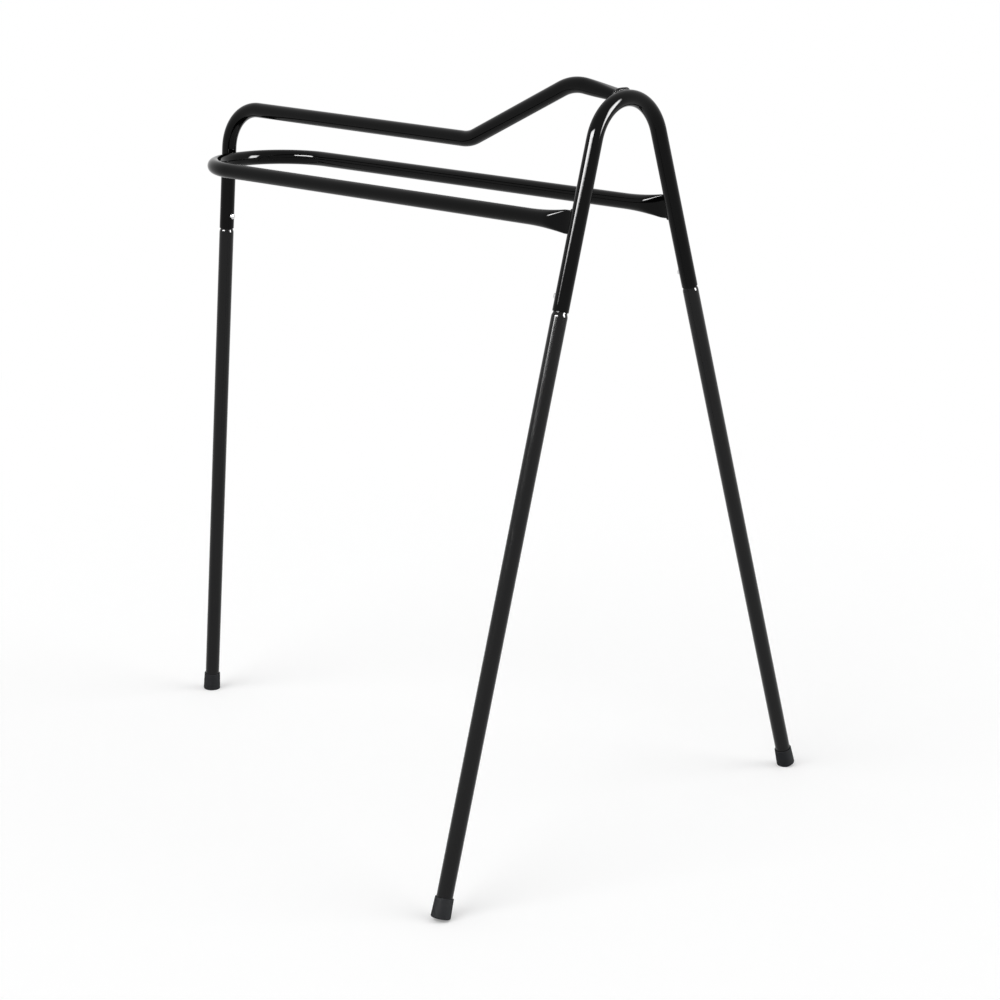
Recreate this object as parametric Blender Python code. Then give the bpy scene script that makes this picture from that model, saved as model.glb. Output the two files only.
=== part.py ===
"""Knock-down saddle rack: a bent-tube frame that stands on three push-in lower legs.

Metres, +Z up, the floor at Z = 0. The pommel end faces -Y and the rack is symmetric about X = 0.
Each lower leg is pushed into the frame from below and held by a spring-loaded snap button.
"""

import math

import bmesh
import bpy
from mathutils import Matrix, Vector

# Tube stock
TUBE_DIAMETER = 0.020
TUBE_WALL = 0.001
FIT_GAP = 0.0003  # between pieces that touch, and all round a spigot in its socket

# Stance: where the centre lines of the legs meet the floor, and how they slant
STANCE_WIDTH = 0.6946
STANCE_LENGTH = 0.803
FRONT_SPLAY = math.radians(17.8)
FRONT_LEAN = math.radians(1.9)
REAR_LEAN = math.radians(4.2)
FRONT_SOCKET_BELOW_RAIL = 0.1010  # from the side rail's centre line down to the sockets' mouths
REAR_SOCKET_BELOW_RAIL = 0.0989

# Front frame: one tube bent to an arch
ARCH_RADIUS = 0.0633

# Spine: one tube from the arch over the pommel hump, along the seat and down the rear leg.
# The setbacks run from the line of the front feet to the points where the straight runs cross.
HUMP_SETBACK = 0.1154
HUMP_HEIGHT = 0.9500
HUMP_RADIUS = 0.065
KINK_SETBACK = 0.2858
SEAT_HEIGHT = 0.8656
KINK_RADIUS = 0.050
SEAT_RISE = math.radians(0.5)
REAR_BEND_RADIUS = 0.061
NOSE_THICKNESS = 0.0135  # the nose is pressed a little flat where it meets the arch
NOSE_PRESS_LENGTH = 0.066

# Side rail: one tube bent to a U whose back is welded to the front of the rear leg,
# and whose ends are pressed flat against the front legs
RAIL_HEIGHT = 0.7979
RAIL_BACK_WIDTH = 0.176  # between the centre lines of the sides, carried on to the back run
RAIL_BEND_RADIUS = 0.081
RAIL_END_THICKNESS = 0.004
RAIL_PRESS_LENGTH = 0.052

# Lower leg: the top is swaged down to a spigot that fills the socket
SPIGOT_DEPTH = 0.060
SPIGOT_LEAD = 0.0015
NECK_LENGTH = 0.0016
SWAGE_LENGTH = 0.0050

# Snap button and its spring clip inside the spigot
BUTTON_HEIGHT = 0.018  # above the mouth of the socket
BUTTON_DIAMETER = 0.007
BUTTON_PROTRUSION = 0.0038
BUTTON_DOME = 0.0012
CLIP_WIDTH = 0.006
CLIP_THICKNESS = 0.0008
CLIP_TIP = 0.007  # how far the clip's leaves run on above the button
CLIP_LENGTH = 0.030  # from the button down to the bend of the clip
CLIP_BEND_RADIUS = 0.003

# Rubber foot
FOOT_HEIGHT = 0.025
FOOT_TOP_DIAMETER = 0.0228
FOOT_BASE_DIAMETER = 0.0244
FOOT_PAD = 0.004
FOOT_EDGE_RADIUS = 0.0018
FOOT_LIP_RADIUS = 0.0006
FOOT_FLAT_DEPTH = 0.001  # how far the low edge is pressed flat by the floor

# Smoothness of the solids
TUBE_SIDES = 24
TURNED_SIDES = 28
BUTTON_SIDES = 20
BEND_STEP = math.radians(9)
PRESS_STEPS = 6
FILLET_STEPS = 4
SWAGE_STEPS = 5
SMOOTH_ANGLE = math.radians(35)

# Worked out from the sizes above
TUBE_RADIUS = TUBE_DIAMETER / 2
SOCKET_RADIUS = TUBE_RADIUS - TUBE_WALL
SPIGOT_RADIUS = SOCKET_RADIUS - FIT_GAP
SPIGOT_BORE = SPIGOT_RADIUS - TUBE_WALL
FRONT_SOCKET_HEIGHT = RAIL_HEIGHT - FRONT_SOCKET_BELOW_RAIL
REAR_SOCKET_HEIGHT = RAIL_HEIGHT - REAR_SOCKET_BELOW_RAIL
FRONT_Y = -STANCE_LENGTH / 2
REAR_Y = STANCE_LENGTH / 2
BUTTON_HOLE_RADIUS = BUTTON_DIAMETER / 2 + FIT_GAP
LEFT, RIGHT = -1, 1
ACROSS = Vector((1, 0, 0))
UP = Vector((0, 0, 1))


def front_axis(side, height):
    """The point of a front leg's centre line at a height."""
    return Vector((
        side * (STANCE_WIDTH / 2 - height * math.tan(FRONT_SPLAY)),
        FRONT_Y + height * math.tan(FRONT_LEAN),
        height,
    ))


def rear_axis(height):
    """The point of the rear leg's centre line at a height."""
    return Vector((0, REAR_Y - height * math.tan(REAR_LEAN), height))


# Routes of the bent tubes


def route(corners, radii):
    """Stations, each a point and a direction, along straight runs joined by bends of given radii."""
    heading = (corners[1] - corners[0]).normalized()
    stations = [(corners[0], heading)]
    for corner, after, radius in zip(corners[1:-1], corners[2:], radii):
        leaving = (after - corner).normalized()
        turn = heading.angle(leaving)
        pivot_axis = heading.cross(leaving).normalized()
        start = corner - heading * radius * math.tan(turn / 2)
        pivot = start + pivot_axis.cross(heading) * radius
        steps = math.ceil(turn / BEND_STEP)
        for step in range(steps + 1):
            swing = Matrix.Rotation(turn * step / steps, 3, pivot_axis)
            stations.append((pivot + swing @ (start - pivot), swing @ heading))
        heading = leaving
    stations.append((corners[-1], heading))
    return stations


def arch_stations():
    """Up the left leg, round the arch and down the right leg."""
    crossing = front_axis(LEFT, STANCE_WIDTH / 2 / math.tan(FRONT_SPLAY))
    mouths = [front_axis(side, FRONT_SOCKET_HEIGHT) for side in (LEFT, RIGHT)]
    return route([mouths[0], crossing, mouths[1]], [ARCH_RADIUS])


def arch_normal():
    """Square to the leaning plane that the front frame lies in."""
    return Vector((0, math.cos(FRONT_LEAN), -math.sin(FRONT_LEAN)))


def arch_top():
    """The highest point of the arch's centre line."""
    crossing = front_axis(LEFT, STANCE_WIDTH / 2 / math.tan(FRONT_SPLAY))
    slope_in_plane = math.atan(math.tan(FRONT_SPLAY) * math.cos(FRONT_LEAN))
    drop = ARCH_RADIUS / math.sin(slope_in_plane) - ARCH_RADIUS
    return crossing - Vector((0, math.sin(FRONT_LEAN), math.cos(FRONT_LEAN))) * drop


def spine_stations():
    """From the rear socket up, forward along the seat and over the hump to the arch."""
    kink = Vector((0, FRONT_Y + KINK_SETBACK, SEAT_HEIGHT))
    hump = Vector((0, FRONT_Y + HUMP_SETBACK, HUMP_HEIGHT))
    rise = math.tan(SEAT_RISE)
    corner_height = (SEAT_HEIGHT + rise * (REAR_Y - kink.y)) / (1 + rise * math.tan(REAR_LEAN))
    corners = [rear_axis(REAR_SOCKET_HEIGHT), rear_axis(corner_height), kink, hump, arch_top()]
    return route(corners, [REAR_BEND_RADIUS, KINK_RADIUS, HUMP_RADIUS])


def rail_stations():
    """From the left front leg back, across in front of the rear leg and on to the right front leg."""
    ends = [front_axis(side, RAIL_HEIGHT) for side in (LEFT, RIGHT)]
    back_y = rear_axis(RAIL_HEIGHT).y - (TUBE_DIAMETER + FIT_GAP) / math.cos(REAR_LEAN)
    corners = [Vector((side * RAIL_BACK_WIDTH / 2, back_y, RAIL_HEIGHT)) for side in (LEFT, RIGHT)]
    return route([ends[0], *corners, ends[1]], [RAIL_BEND_RADIUS, RAIL_BEND_RADIUS])


def add_press_stations(stations, length):
    """Adds closely spaced stations over the last stretch of a route."""
    point, heading = stations[-1]
    stretch = [(point - heading * length * step / PRESS_STEPS, heading)
               for step in range(PRESS_STEPS, 0, -1)]
    return stations[:-1] + stretch + [stations[-1]]


def reverse(stations):
    """The same route walked the other way."""
    return [(point, -heading) for point, heading in reversed(stations)]


# Cross-sections, as offsets along the route's thin direction and its wide direction


def pressed_tube(thickness, inset):
    """A tube pressed to a thickness keeps its girth, so it widens to a slot shape."""
    radius = thickness / 2 - inset
    spread = math.pi * (TUBE_DIAMETER - thickness) / 4
    offsets = []
    for i in range(TUBE_SIDES):
        angle = math.tau * i / TUBE_SIDES
        side = 0 if i % (TUBE_SIDES // 2) == 0 else math.copysign(1, math.sin(angle))
        offsets.append((radius * math.cos(angle), radius * math.sin(angle) + spread * side))
    return offsets


def strip(thickness, width):
    """A flat strip."""
    return [(thickness / 2 * a, width / 2 * b) for a, b in ((1, 1), (-1, 1), (-1, -1), (1, -1))]


def placed(station, normal, offsets):
    """Points of a cross-section set square on a station; the wide direction is the normal."""
    point, heading = station
    thin = heading.cross(normal)
    return [point + thin * a + normal * b for a, b in offsets]


def press_profile(stations, thickness, length):
    """Tube thickness at each station, eased down to the pressed thickness at the route's end."""
    end = stations[-1][0]
    thicknesses = []
    for point, _ in stations:
        along = min((point - end).length / length, 1)
        ease = (1 - math.cos(math.pi * along)) / 2
        thicknesses.append(thickness + (TUBE_DIAMETER - thickness) * ease)
    return thicknesses


# Meshes and objects


def material(name, colour, roughness, metallic):
    """A finish with one colour."""
    made = bpy.data.materials.new(name)
    made.use_nodes = True
    shader = made.node_tree.nodes["Principled BSDF"]
    shader.inputs["Base Color"].default_value = (*colour, 1)
    shader.inputs["Roughness"].default_value = roughness
    shader.inputs["Metallic"].default_value = metallic
    return made


def add_object(name, bm, finish=None, parent=None):
    """Turns a bmesh into an object with its faces outward and its round faces smooth."""
    bmesh.ops.recalc_face_normals(bm, faces=bm.faces)
    mesh = bpy.data.meshes.new(name)
    bm.to_mesh(mesh)
    bm.free()
    mesh.shade_smooth()
    mesh.set_sharp_from_angle(angle=SMOOTH_ANGLE)
    piece = bpy.data.objects.new(name, mesh)
    bpy.context.scene.collection.objects.link(piece)
    piece.parent = parent
    if finish:
        mesh.materials.append(finish)
    return piece


def add_cutter(name, bm, parent=None):
    """An object that only cuts others."""
    cutter = add_object(name, bm, parent=parent)
    cutter.hide_render = True
    cutter.display_type = "WIRE"
    return cutter


def cut(piece, cutter):
    """Takes the cutter's volume away from a piece."""
    boolean = piece.modifiers.new(cutter.name, "BOOLEAN")
    boolean.operation = "DIFFERENCE"
    boolean.solver = "EXACT"
    boolean.object = cutter


def skin(bm, sections, joined):
    """Faces from each section to the next; a joined skin closes on its first section."""
    loops = [[bm.verts.new(point) for point in section] for section in sections]
    pairs = list(zip(loops, loops[1:]))
    if joined:
        pairs.append((loops[-1], loops[0]))
    else:
        bm.faces.new(loops[0])
        bm.faces.new(loops[-1])
    for low, high in pairs:
        for i in range(len(low)):
            bm.faces.new((low[i - 1], low[i], high[i], high[i - 1]))


def hollow_tube(stations, normal, thicknesses):
    """A tube with its wall, open at both ends."""
    bm = bmesh.new()
    outside = [placed(s, normal, pressed_tube(t, 0)) for s, t in zip(stations, thicknesses)]
    inside = [placed(s, normal, pressed_tube(t, TUBE_WALL)) for s, t in zip(stations, thicknesses)]
    skin(bm, outside + inside[::-1], joined=True)
    return bm


def solid_bar(stations, normal, offsets):
    """A closed bar of one cross-section."""
    bm = bmesh.new()
    skin(bm, [placed(s, normal, offsets) for s in stations], joined=False)
    return bm


def turned(profile, sides, ring):
    """Revolves a profile of (radius, height) points; a ring profile closes on itself."""
    bm = bmesh.new()
    verts = [bm.verts.new((radius, 0, height)) for radius, height in profile]
    edges = [bm.edges.new(pair) for pair in zip(verts, verts[1:])]
    if ring:
        edges.append(bm.edges.new((verts[-1], verts[0])))
    bmesh.ops.spin(bm, geom=verts + edges, cent=(0, 0, 0), axis=(0, 0, 1),
                   angle=math.tau, steps=sides, use_merge=True)
    bmesh.ops.remove_doubles(bm, verts=bm.verts, dist=1e-6)
    return bm


def quarter_round(centre_radius, centre_height, radius, start):
    """A quarter circle of profile points that turns clockwise from a starting angle in degrees."""
    points = []
    for step in range(FILLET_STEPS + 1):
        angle = math.radians(start - 90 * step / FILLET_STEPS)
        points.append((centre_radius + radius * math.cos(angle),
                       centre_height + radius * math.sin(angle)))
    return points


# Pieces of the frame


def make_front_frame(finish):
    stations = arch_stations()
    round_all_along = [TUBE_DIAMETER] * len(stations)
    return add_object("front_a_frame", hollow_tube(stations, arch_normal(), round_all_along), finish)


def make_arch_cutter():
    """The front frame's tube with a gap all round it, which fits the other tubes to it."""
    bar = solid_bar(arch_stations(), arch_normal(), pressed_tube(TUBE_DIAMETER, -FIT_GAP))
    return add_cutter("arch_cutter", bar)


def make_spine(arch_cutter, finish):
    stations = add_press_stations(spine_stations(), NOSE_PRESS_LENGTH)
    thicknesses = press_profile(stations, NOSE_THICKNESS, NOSE_PRESS_LENGTH)
    spine = add_object("spine_tube", hollow_tube(stations, ACROSS, thicknesses), finish)
    cut(spine, arch_cutter)
    return spine


def make_side_rail(arch_cutter, finish):
    stations = rail_stations()
    for _ in (LEFT, RIGHT):
        stations = reverse(add_press_stations(stations, RAIL_PRESS_LENGTH))
    to_right = press_profile(stations, RAIL_END_THICKNESS, RAIL_PRESS_LENGTH)
    to_left = press_profile(reverse(stations), RAIL_END_THICKNESS, RAIL_PRESS_LENGTH)[::-1]
    thicknesses = [min(pair) for pair in zip(to_left, to_right)]
    rail = add_object("side_rail", hollow_tube(stations, UP, thicknesses), finish)
    cut(rail, arch_cutter)
    return rail


# Pieces of a lower leg, each made in the leg's own frame: the origin at the socket's mouth,
# +Z up into the socket and +Y towards the snap button


def leg_frame(name, mouth, up_the_leg, towards_button):
    """An empty that carries one lower leg's pieces."""
    z_axis = up_the_leg.normalized()
    x_axis = towards_button.cross(z_axis).normalized()
    y_axis = z_axis.cross(x_axis)
    frame = bpy.data.objects.new(name, None)
    bpy.context.scene.collection.objects.link(frame)
    frame.matrix_world = Matrix.Translation(mouth) @ Matrix((x_axis, y_axis, z_axis)).transposed().to_4x4()
    return frame


def foot_base_height(slant):
    """Height of the centre of a foot's base when its low edge is pressed flat on the floor."""
    rim = FOOT_BASE_DIAMETER / 2 - FOOT_EDGE_RADIUS
    edge_drop = rim * math.sin(slant) + FOOT_EDGE_RADIUS * (1 - math.cos(slant))
    return edge_drop - FOOT_FLAT_DEPTH


def foot_base_drop(frame):
    """Distance down the leg from the socket's mouth to the foot's base."""
    up_the_leg = frame.matrix_world.to_3x3() @ UP
    slant = up_the_leg.angle(UP)
    return (frame.matrix_world.translation.z - foot_base_height(slant)) / math.cos(slant)


def make_lower_leg(name, frame, hole_cutter, finish):
    end = FOOT_PAD + FIT_GAP - foot_base_drop(frame)
    swage = []
    for step in range(SWAGE_STEPS + 1):
        along = step / SWAGE_STEPS
        swell = (1 - math.cos(math.pi * along)) / 2 * (TUBE_RADIUS - SPIGOT_RADIUS)
        swage.append((SPIGOT_RADIUS + swell, -NECK_LENGTH - SWAGE_LENGTH * along))
    outside = [(SPIGOT_RADIUS - SPIGOT_LEAD / 2, SPIGOT_DEPTH), (SPIGOT_RADIUS, SPIGOT_DEPTH - SPIGOT_LEAD)]
    outside += swage + [(TUBE_RADIUS, end)]
    inside = [(SOCKET_RADIUS, end)] + [(radius - TUBE_WALL, height) for radius, height in swage[::-1]]
    inside += [(SPIGOT_BORE, SPIGOT_DEPTH)]
    leg = add_object(name, turned(outside + inside, TURNED_SIDES, ring=True), finish, frame)
    cut(leg, hole_cutter)
    return leg


def make_hole_cutter(name, frame):
    """A round bar through one wall of the socket and the spigot inside it."""
    centre = Vector((0, 0, BUTTON_HEIGHT))
    bm = bmesh.new()
    bmesh.ops.create_cone(bm, cap_ends=True, segments=BUTTON_SIDES, radius1=BUTTON_HOLE_RADIUS,
                          radius2=BUTTON_HOLE_RADIUS, depth=TUBE_DIAMETER)
    lay_along_y = Matrix.Rotation(math.radians(-90), 4, "X")
    shift = Matrix.Translation(centre + Vector((0, TUBE_DIAMETER / 2, 0)))
    bmesh.ops.transform(bm, matrix=shift @ lay_along_y, verts=bm.verts)
    return add_cutter(name, bm, frame)


def clip_face_radius():
    """How far the clip's leaves stand from the leg's centre line beside the button."""
    return math.sqrt((SPIGOT_BORE - FIT_GAP) ** 2 - (CLIP_WIDTH / 2) ** 2)


def make_button(name, frame, finish):
    top = TUBE_RADIUS + BUTTON_PROTRUSION
    base = clip_face_radius() + FIT_GAP
    radius = BUTTON_DIAMETER / 2
    dome = [(radius * math.sin(math.radians(90) * step / FILLET_STEPS),
             top - BUTTON_DOME * (1 - math.cos(math.radians(90) * step / FILLET_STEPS)))
            for step in range(FILLET_STEPS + 1)]
    profile = dome + [(radius, base), (0, base)]
    button = add_object(name, turned(profile, BUTTON_SIDES, ring=False), finish, frame)
    button.location = (0, 0, BUTTON_HEIGHT)
    button.rotation_euler = (math.radians(-90), 0, 0)
    return button


def make_clip(name, frame, finish):
    """A strip of spring steel folded to a V, with one leaf under the button."""
    leaf = clip_face_radius() - CLIP_THICKNESS / 2
    top = BUTTON_HEIGHT + CLIP_TIP
    bottom = BUTTON_HEIGHT - CLIP_LENGTH
    corners = [
        Vector((0, leaf, top)),
        Vector((0, leaf, BUTTON_HEIGHT - BUTTON_DIAMETER / 2)),
        Vector((0, CLIP_BEND_RADIUS, bottom)),
        Vector((0, -CLIP_BEND_RADIUS, bottom)),
        Vector((0, -leaf, BUTTON_HEIGHT)),
        Vector((0, -leaf, top)),
    ]
    radii = [CLIP_BEND_RADIUS * 2, CLIP_BEND_RADIUS * 0.9, CLIP_BEND_RADIUS * 0.9, CLIP_BEND_RADIUS * 2]
    bm = solid_bar(route(corners, radii), ACROSS, strip(CLIP_THICKNESS, CLIP_WIDTH))
    return add_object(name, bm, finish, frame)


def make_foot(name, frame, floor_cutter, finish):
    """A cup of rubber over the end of the leg, pressed flat where it meets the floor."""
    bore = TUBE_RADIUS + FIT_GAP
    lip = FOOT_TOP_DIAMETER / 2 - FOOT_LIP_RADIUS
    rim = FOOT_BASE_DIAMETER / 2 - FOOT_EDGE_RADIUS
    profile = [(0, FOOT_PAD), (bore, FOOT_PAD), (bore, FOOT_HEIGHT)]
    profile += quarter_round(lip, FOOT_HEIGHT - FOOT_LIP_RADIUS, FOOT_LIP_RADIUS, 90)
    profile += quarter_round(rim, FOOT_EDGE_RADIUS, FOOT_EDGE_RADIUS, 0)
    profile += [(0, 0)]
    foot = add_object(name, turned(profile, TURNED_SIDES, ring=False), finish, frame)
    foot.location = (0, 0, -foot_base_drop(frame))
    cut(foot, floor_cutter)
    return foot


def make_floor_cutter():
    """Everything just below the floor."""
    bm = bmesh.new()
    bmesh.ops.create_cube(bm, size=1)
    size = Vector((STANCE_WIDTH, STANCE_LENGTH, 0)) * 1.5 + UP * FOOT_HEIGHT
    bmesh.ops.scale(bm, vec=size, verts=bm.verts)
    bmesh.ops.translate(bm, vec=-UP * FOOT_HEIGHT / 2, verts=bm.verts)
    return add_cutter("floor_cutter", bm)


def build():
    for old in list(bpy.data.objects):
        bpy.data.objects.remove(old)

    gloss_black = material("gloss_black_enamel", (0.005, 0.005, 0.005), 0.05, 0)
    satin_black = material("satin_black_enamel", (0.006, 0.006, 0.007), 0.14, 0)
    rubber = material("black_rubber", (0.028, 0.030, 0.033), 0.7, 0)
    zinc = material("zinc_plated_steel", (0.72, 0.72, 0.72), 0.28, 1)
    spring_steel = material("spring_steel", (0.42, 0.42, 0.44), 0.35, 1)

    front_frame = make_front_frame(gloss_black)
    arch_cutter = make_arch_cutter()
    spine = make_spine(arch_cutter, gloss_black)
    make_side_rail(arch_cutter, gloss_black)

    floor_cutter = make_floor_cutter()
    backward = Vector((0, 1, 0))
    left_mouth = front_axis(LEFT, FRONT_SOCKET_HEIGHT)
    right_mouth = front_axis(RIGHT, FRONT_SOCKET_HEIGHT)
    rear_mouth = rear_axis(REAR_SOCKET_HEIGHT)
    legs = (
        ("front_left", left_mouth, left_mouth - front_axis(LEFT, 0), backward, front_frame),
        ("front_right", right_mouth, right_mouth - front_axis(RIGHT, 0), backward, front_frame),
        ("rear", rear_mouth, rear_mouth - rear_axis(0), -backward, spine),
    )
    for word, mouth, up_the_leg, towards_button, socket in legs:
        frame = leg_frame(word + "_leg_frame", mouth, up_the_leg, towards_button)
        hole_cutter = make_hole_cutter(word + "_hole_cutter", frame)
        cut(socket, hole_cutter)
        make_lower_leg(word + "_lower_leg", frame, hole_cutter, satin_black)
        make_button(word + "_snap_button", frame, zinc)
        make_clip(word + "_button_clip", frame, spring_steel)
        make_foot(word + "_rubber_foot", frame, floor_cutter, rubber)


build()
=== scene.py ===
"""The looks of the knock-down saddle rack: fine tubes, weld beads, finishes, studio and camera.

Metres, +Z up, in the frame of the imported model. The pommel end faces -Y.
"""

import math

import bmesh
import bpy
from mathutils import Matrix, Vector, noise


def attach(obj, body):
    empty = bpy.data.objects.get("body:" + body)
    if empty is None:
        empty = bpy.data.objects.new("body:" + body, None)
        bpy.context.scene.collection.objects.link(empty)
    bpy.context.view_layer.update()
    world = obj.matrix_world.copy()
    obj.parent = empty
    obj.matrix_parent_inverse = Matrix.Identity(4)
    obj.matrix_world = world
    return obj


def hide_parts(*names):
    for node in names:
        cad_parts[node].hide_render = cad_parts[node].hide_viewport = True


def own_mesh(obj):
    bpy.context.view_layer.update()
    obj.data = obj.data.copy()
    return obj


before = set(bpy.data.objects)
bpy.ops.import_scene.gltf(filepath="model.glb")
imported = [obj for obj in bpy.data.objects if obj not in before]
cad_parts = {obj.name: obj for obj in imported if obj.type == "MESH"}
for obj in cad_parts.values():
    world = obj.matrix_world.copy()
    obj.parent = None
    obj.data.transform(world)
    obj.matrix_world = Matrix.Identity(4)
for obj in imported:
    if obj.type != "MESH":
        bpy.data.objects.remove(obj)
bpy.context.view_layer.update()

# Tube stock
TUBE_DIAMETER = 0.020
TUBE_WALL = 0.001
FIT_GAP = 0.0003

# Stance: where the centre lines of the legs meet the floor, and how they slant
STANCE_WIDTH = 0.6946
STANCE_LENGTH = 0.803
FRONT_SPLAY = math.radians(17.8)
FRONT_LEAN = math.radians(1.9)
REAR_LEAN = math.radians(4.2)
FRONT_SOCKET_BELOW_RAIL = 0.1010
REAR_SOCKET_BELOW_RAIL = 0.0989

# Front frame, spine and side rail
ARCH_RADIUS = 0.0633
HUMP_SETBACK = 0.1154
HUMP_HEIGHT = 0.9500
HUMP_RADIUS = 0.065
KINK_SETBACK = 0.2858
SEAT_HEIGHT = 0.8656
KINK_RADIUS = 0.050
SEAT_RISE = math.radians(0.5)
REAR_BEND_RADIUS = 0.061
NOSE_THICKNESS = 0.0135
NOSE_PRESS_LENGTH = 0.066
RAIL_HEIGHT = 0.7979
RAIL_BACK_WIDTH = 0.176
RAIL_BEND_RADIUS = 0.081
RAIL_END_THICKNESS = 0.004
RAIL_THINNING = (0.014, 0.048)  # distances from the end over which the rail gets thicker
RAIL_WIDENING = (0.020, 0.078)  # and those over which it gets narrower

# Lower leg with its spigot and neck
SPIGOT_DEPTH = 0.060
SPIGOT_LEAD = 0.0015
NECK_LENGTH = 0.0016
SWAGE_LENGTH = 0.0050

# Snap button
BUTTON_HEIGHT = 0.018
BUTTON_DIAMETER = 0.007
BUTTON_PROTRUSION = 0.0038
BUTTON_DOME = 0.0012
BUTTON_EDGE = 0.0004

# Folded spring clip under the button
CLIP_WIDTH = 0.006
CLIP_THICKNESS = 0.0008
CLIP_TIP = 0.007  # how far the clip's leaves run on above the button
CLIP_LENGTH = 0.030  # from the button down to the fold
CLIP_FOLD_HALF_WIDTH = 0.003
CLIP_FOLD_RADIUS = 0.0027
CLIP_KINK_RADIUS = 0.006  # where the leaves turn in towards the fold

# Rubber foot
FOOT_HEIGHT = 0.025
FOOT_TOP_DIAMETER = 0.0228
FOOT_BASE_DIAMETER = 0.0244
FOOT_PAD = 0.004  # the rubber below the end of the tube
FOOT_EDGE_RADIUS = 0.0018
FOOT_LIP_RADIUS = 0.0006
FOOT_FLAT_DEPTH = 0.001
FOOT_BASE_RINGS = 10

# Weld beads
NOSE_WELD_RADIUS = 0.0028
RAIL_WELD_RADIUS = 0.0013
WELD_RIPPLE_PITCH = 0.0019
WELD_RIPPLE_DEPTH = 0.12  # as a share of the bead's radius
WELD_RINGS_PER_RIPPLE = 6
WELD_SIDES = 14
WELD_WANDER = 0.00025  # how far a bead strays from its seam
WELD_RIPPLES_PER_WANDER = 3
WELD_PROUD = 0.55  # how far a bead's middle stands out of its corner, as a share of its radius
SEAM_REACH = 2 * TUBE_DIAMETER  # how far from a tube's end its seam is sought
SEAM_HALVINGS = 24

# Smoothness
TUBE_SIDES = 72
TURNED_SIDES = 72
BEND_STEP = math.radians(3)
PRESS_STEPS = 26
ARC_STEPS = 8
SWAGE_STEPS = 14
LIP_RADIUS = 0.0003
LIP_STEPS = 4
HOLE_RING_NEAR = 0.010  # rings of vertices on either side of the button's hole
HOLE_RING_FAR = 0.028  # and a further one above it
SMOOTH_ANGLE = math.radians(35)

# Finishes
GLOSS_SPECULAR = 0.10  # low, so that black stays black in a white room
SATIN_SPECULAR = 0.22
RUBBER_SPECULAR = 0.08
METAL_SPECULAR = 0.5  # the shader's own default

# Studio
WORLD_LEVEL = 0.55  # the world's light on the object
FLOOR_ALBEDO = 0.8
FLOOR_SIZE = 30
FLOOR_FADE = (1.2, 2.6)  # distances over which the floor turns into plain white
FLOOR_DROP = 0.0002  # how far it lies under the feet
FLOOR_LIFT = 0.24  # what the lit floor lacks to be white
CARD_DISTANCE = 12
CARD_AIM = Vector((0, 0, 0.7))

# Camera, fitted to the photograph; its turns are in radians, its lens and sensor in millimetres
CAMERA_PLACE = Vector((-2.2727, -2.2271, 1.2459))
CAMERA_YAW = 0.8363  # from +Y towards +X
CAMERA_PITCH = -0.2685
CAMERA_ROLL = 0.01284
CAMERA_LENS = 87.9
SENSOR_WIDTH = 36

# Worked out from the sizes above
TUBE_RADIUS = TUBE_DIAMETER / 2
SOCKET_RADIUS = TUBE_RADIUS - TUBE_WALL
SPIGOT_RADIUS = SOCKET_RADIUS - FIT_GAP
SPIGOT_BORE = SPIGOT_RADIUS - TUBE_WALL
FRONT_SOCKET_HEIGHT = RAIL_HEIGHT - FRONT_SOCKET_BELOW_RAIL
REAR_SOCKET_HEIGHT = RAIL_HEIGHT - REAR_SOCKET_BELOW_RAIL
FRONT_Y = -STANCE_LENGTH / 2
REAR_Y = STANCE_LENGTH / 2
BUTTON_HOLE_RADIUS = BUTTON_DIAMETER / 2 + FIT_GAP
# The outer face of the clip's leaves and the button's base, measured from the leg's centre line
CLIP_FACE = math.sqrt((SPIGOT_BORE - FIT_GAP) ** 2 - (CLIP_WIDTH / 2) ** 2)
BUTTON_BASE = CLIP_FACE + FIT_GAP

# Sides and directions
LEFT, RIGHT = -1, 1
ACROSS = Vector((1, 0, 0))
BACKWARD = Vector((0, 1, 0))
UP = Vector((0, 0, 1))


# Centre lines of the legs and routes of the bent tubes


def front_axis(side, height):
    """The point of a front leg's centre line at a height."""
    return Vector((
        side * (STANCE_WIDTH / 2 - height * math.tan(FRONT_SPLAY)),
        FRONT_Y + height * math.tan(FRONT_LEAN),
        height,
    ))


def rear_axis(height):
    """The point of the rear leg's centre line at a height."""
    return Vector((0, REAR_Y - height * math.tan(REAR_LEAN), height))


def route(corners, radii):
    """Stations, each a point and a direction, along straight runs joined by bends of given radii."""
    heading = (corners[1] - corners[0]).normalized()
    stations = [(corners[0], heading)]
    for corner, after, radius in zip(corners[1:-1], corners[2:], radii):
        leaving = (after - corner).normalized()
        turn = heading.angle(leaving)
        pivot_axis = heading.cross(leaving).normalized()
        start = corner - heading * radius * math.tan(turn / 2)
        pivot = start + pivot_axis.cross(heading) * radius
        steps = math.ceil(turn / BEND_STEP)
        for step in range(steps + 1):
            swing = Matrix.Rotation(turn * step / steps, 3, pivot_axis)
            stations.append((pivot + swing @ (start - pivot), swing @ heading))
        heading = leaving
    stations.append((corners[-1], heading))
    return stations


def front_crossing():
    """The point where the centre lines of the front legs cross."""
    return front_axis(LEFT, STANCE_WIDTH / 2 / math.tan(FRONT_SPLAY))


def arch_stations():
    """Up the left leg, round the arch and down the right leg."""
    mouths = [front_axis(side, FRONT_SOCKET_HEIGHT) for side in (LEFT, RIGHT)]
    return route([mouths[0], front_crossing(), mouths[1]], [ARCH_RADIUS])


def arch_normal():
    """Square to the leaning plane that the front frame lies in."""
    return Vector((0, math.cos(FRONT_LEAN), -math.sin(FRONT_LEAN)))


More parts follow.
